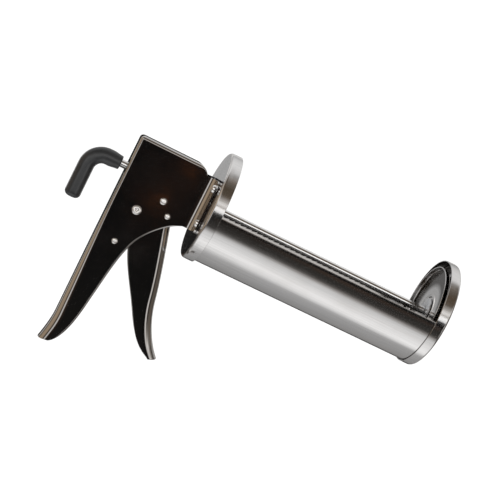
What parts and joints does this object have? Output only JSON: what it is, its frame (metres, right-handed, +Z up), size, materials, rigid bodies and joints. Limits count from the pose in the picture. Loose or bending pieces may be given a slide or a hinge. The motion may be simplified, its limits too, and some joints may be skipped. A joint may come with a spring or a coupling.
{
  "type": "caulking gun",
  "caption": "Half-barrel caulking gun with a pressed-steel pistol grip, ratchet trigger, sliding push rod with a sleeved pull hook, piston disc and round end caps.",
  "frame": {"origin": "the back of the grip on the gun's middle plane, where the web of the hand sits; the barrel axis is 62 mm above it and the rear cap's rear face 70 mm ahead of it", "axes": "+X along the barrel towards the nozzle, +Y to the left of someone holding the gun, +Z up"},
  "size_m": [0.3163, 0.092, 0.199],
  "materials": {
    "polished_chrome": "mirror-polished dark nickel chrome",
    "satin_chrome": "satin chrome with fine lengthwise brushing",
    "rod_chrome": "bright chrome",
    "rivet_steel": "bright nickel",
    "zinc_steel": "zinc-plated steel",
    "spring_steel": "oiled spring steel",
    "hardened_steel": "blackened hardened steel",
    "vinyl": "dipped black vinyl, satin"
  },
  "bodies": {
    "frame": {"handle_body": "polished_chrome", "rear_cap": "satin_chrome", "front_cap": "satin_chrome", "barrel_trough": "satin_chrome", "trigger_pivot_rivet": "rivet_steel", "brake_rivet": "rivet_steel", "trigger_stop_rivet": "rivet_steel", "spring_anchor_rivet": "rivet_steel", "flange_rivet_left_upper": "rivet_steel", "flange_rivet_left_lower": "rivet_steel", "flange_rivet_right_upper": "rivet_steel", "flange_rivet_right_lower": "rivet_steel", "pivot_sleeve": "zinc_steel", "brake_sleeve": "zinc_steel", "stop_sleeve": "zinc_steel", "anchor_sleeve": "zinc_steel", "rod_brake_spring": "spring_steel", "trigger_return_spring": "spring_steel"},
    "trigger": {"trigger": "polished_chrome", "pawl_pin": "zinc_steel", "spring_pin": "zinc_steel", "pawl_spring": "spring_steel"},
    "pawl": {"pawl": "hardened_steel"},
    "piston": {"piston_plate": "satin_chrome", "piston_rear_washer": "zinc_steel", "piston_front_washer": "zinc_steel", "rod_nut": "zinc_steel"},
    "rod": {"push_rod": "rod_chrome", "hook_sleeve": "vinyl"}
  },
  "joints": [
    {"name": "trigger_pivot", "type": "hinge", "parent": "frame", "child": "trigger", "pos_m": [0.0218, 0, 0.0349], "axis": [0, 1, 0], "range_deg": [0, 18], "stiffness_Nm_per_rad": 0.6, "springref_deg": -28.65, "deforming": ["trigger_return_spring"]},
    {"name": "pawl_pivot", "type": "hinge", "parent": "trigger", "child": "pawl", "pos_m": [0.0193, 0, 0.0507], "axis": [0, 1, 0], "range_deg": [-18, 0]},
    {"name": "rod_slide", "type": "slide", "parent": "frame", "child": "piston", "axis": [1, 0, 0], "range_m": [-0.19, 0]},
    {"name": "rod_turn", "type": "hinge", "parent": "piston", "child": "rod", "pos_m": [0.27, 0, 0.062], "axis": [1, 0, 0], "range_deg": [0, 180]}
  ],
  "couplings": [
    {"joint": "pawl_pivot", "follows": "trigger_pivot", "ratio": -1}
  ]
}
